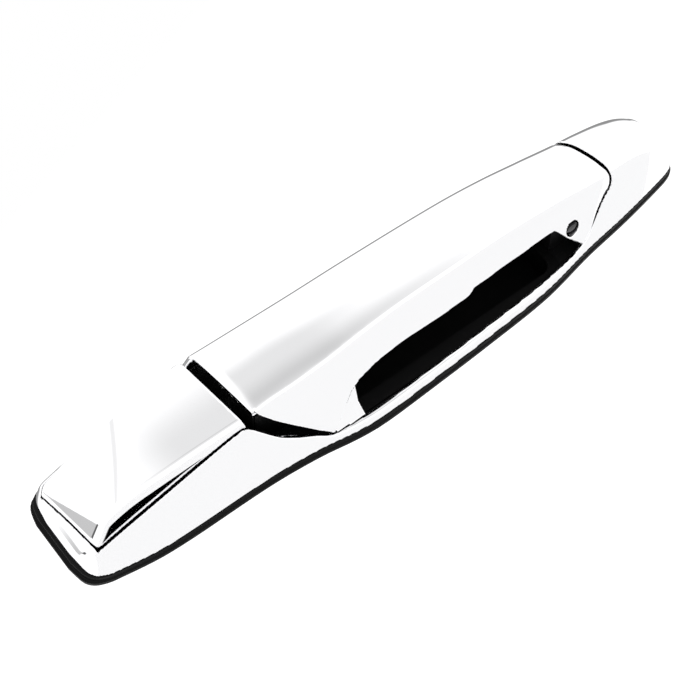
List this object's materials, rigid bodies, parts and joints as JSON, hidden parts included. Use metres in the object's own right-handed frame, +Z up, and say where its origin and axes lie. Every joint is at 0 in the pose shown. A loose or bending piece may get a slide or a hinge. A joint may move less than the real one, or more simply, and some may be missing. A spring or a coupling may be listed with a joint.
{
  "type": "exterior car door handle",
  "caption": "Chromed pull-strap exterior door handle with blank end cap, finger pocket, bellcrank and latch rod clip.",
  "frame": {"origin": "midway between the two mounting studs, on the outer face of the door skin", "axes": "+X along the handle towards its hinge, -Y out of the door, +Z up"},
  "size_m": [0.275, 0.0659, 0.0603],
  "materials": {
    "bezel_chrome": "bright decorative chrome on moulded plastic",
    "strap_chrome": "bright decorative chrome on moulded plastic",
    "cap_chrome": "bright decorative chrome on moulded plastic",
    "black_plastic": "fine-grained black moulded plastic",
    "glass_filled": "glass-filled nylon, dull black",
    "seal_rubber": "closed-cell black seal rubber",
    "zinc_steel": "zinc-plated steel",
    "screw_steel": "dark zinc-plated screws",
    "spring_steel": "oiled spring wire",
    "black_oxide": "black-oxide steel, oiled",
    "cast_zinc": "die-cast zinc alloy, tumbled",
    "natural_nylon": "natural nylon"
  },
  "bodies": {
    "root": {"bezel": "bezel_chrome", "rear_cap": "cap_chrome", "pocket_cup": "black_plastic", "cup_screws": "screw_steel", "chassis": "glass_filled", "bezel_screws": "screw_steel", "cap_screws": "screw_steel", "door_gasket": "seal_rubber", "gap_seal": "seal_rubber", "bump_stops": "seal_rubber", "mounting_studs": "zinc_steel", "stud_seals": "seal_rubber", "hinge_pin": "black_oxide", "hinge_clip": "spring_steel", "bellcrank_pin": "zinc_steel", "bellcrank_clip": "spring_steel", "bellcrank_spring": "spring_steel"},
    "strap": {"grip_shell": "strap_chrome", "grip_liner": "black_plastic", "grip_screws": "screw_steel", "hinge_bushes": "natural_nylon", "pull_leg": "zinc_steel", "pull_leg_screws": "screw_steel"},
    "crank": {"bellcrank": "cast_zinc", "bellcrank_bush": "natural_nylon", "contact_roller": "natural_nylon", "counterweight": "zinc_steel", "counterweight_rivets": "screw_steel"},
    "clip": {"rod_clip": "natural_nylon"}
  },
  "joints": [
    {"name": "strap_pull", "type": "hinge", "parent": "root", "child": "strap", "pos_m": [0.078, -0.0195, 0], "axis": [0, 0, 1], "range_deg": [0, 10], "stiffness_Nm_per_rad": 6, "springref_deg": -8.59},
    {"name": "crank_turn", "type": "hinge", "parent": "root", "child": "crank", "pos_m": [-0.052, 0.01, -0.007], "axis": [1, 0, 0], "range_deg": [0, 60]},
    {"name": "clip_swivel", "type": "hinge", "parent": "crank", "child": "clip", "pos_m": [-0.0377, 0.0261, 0.00105], "axis": [1, 0, 0], "range_deg": [-75, 15]}
  ],
  "couplings": [
    {"joint": "crank_turn", "follows": "strap_pull", "ratio": 6}
  ]
}
